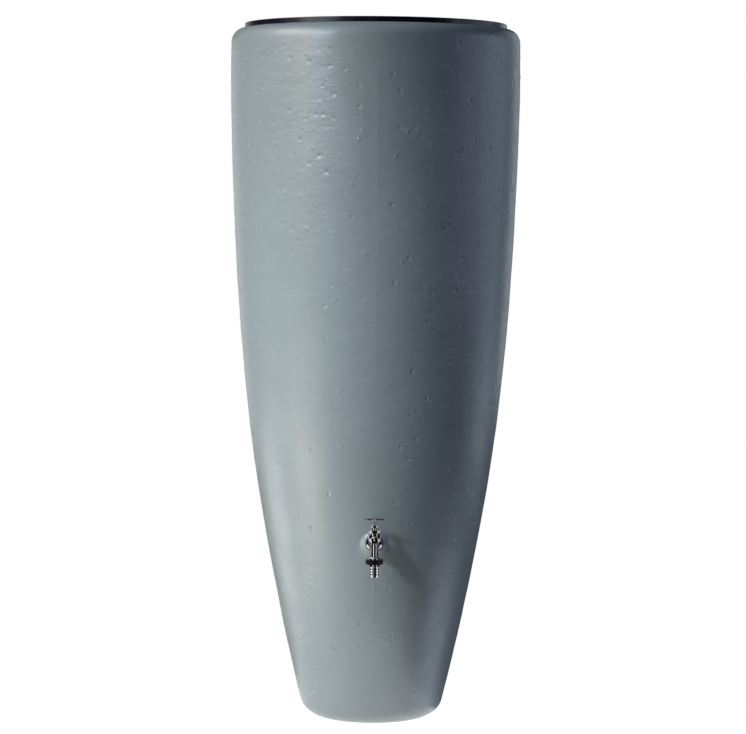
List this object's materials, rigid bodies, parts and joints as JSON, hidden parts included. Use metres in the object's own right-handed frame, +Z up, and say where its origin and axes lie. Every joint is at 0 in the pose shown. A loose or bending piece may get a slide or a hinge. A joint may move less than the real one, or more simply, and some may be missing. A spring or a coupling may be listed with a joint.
{
  "type": "rain barrel",
  "caption": "Tall tapered plastic rainwater barrel with a lift-out planting bowl in its mouth, a screw-down hose tap low on the front and a rear hose inlet.",
  "frame": {"origin": "centre of the flat base, on the ground, on the barrel's axis", "axes": "+Z up along the barrel's axis, -Y out of the front where the tap is, +X to the right as seen from the front"},
  "size_m": [0.6236, 0.6633, 1.5],
  "materials": {
    "tank_plastic": "satin grey polyethylene with a fine hammered grain",
    "bowl_plastic": "glossy black",
    "chrome": "bright chrome plating on brass",
    "steel": "zinc-plated",
    "brass": "turned",
    "black_plastic": "moulded black polypropylene",
    "rubber": "matt black rubber",
    "fibre": "red vulcanised fibre"
  },
  "bodies": {
    "tank": {"tank_shell": "tank_plastic", "tap_body": "chrome", "tap_outer_seal": "rubber", "tap_inner_seal": "rubber", "tap_lock_nut": "brass", "tap_bonnet": "chrome", "bonnet_gasket": "fibre", "gland_packing": "rubber", "gland_nut": "chrome", "union_nut": "black_plastic", "hose_gasket": "rubber", "hose_tail": "chrome", "inlet_spigot": "black_plastic", "inlet_seal": "rubber", "inlet_lock_nut": "black_plastic"},
    "jumper": {"valve_jumper": "brass", "valve_washer": "rubber", "valve_washer_nut": "brass"},
    "handle": {"tap_spindle": "chrome", "handle_hub": "chrome", "handle_bar": "chrome", "handle_screw": "steel"},
    "bowl": {"planting_bowl": "bowl_plastic"}
  },
  "joints": [
    {"name": "valve_lift", "type": "slide", "parent": "tank", "child": "jumper", "axis": [0, 0, 1], "range_m": [0, 0.005]},
    {"name": "handle_turn", "type": "hinge", "parent": "jumper", "child": "handle", "pos_m": [0, -0.275, 0.45], "axis": [0, 0, 1], "range_deg": [0, 900]},
    {"name": "bowl_lift", "type": "slide", "parent": "tank", "child": "bowl", "axis": [0, 0, 1], "range_m": [0, 0.35]}
  ],
  "couplings": [
    {"joint": "handle_turn", "follows": "valve_lift", "rad_per_m": 3141.6}
  ]
}
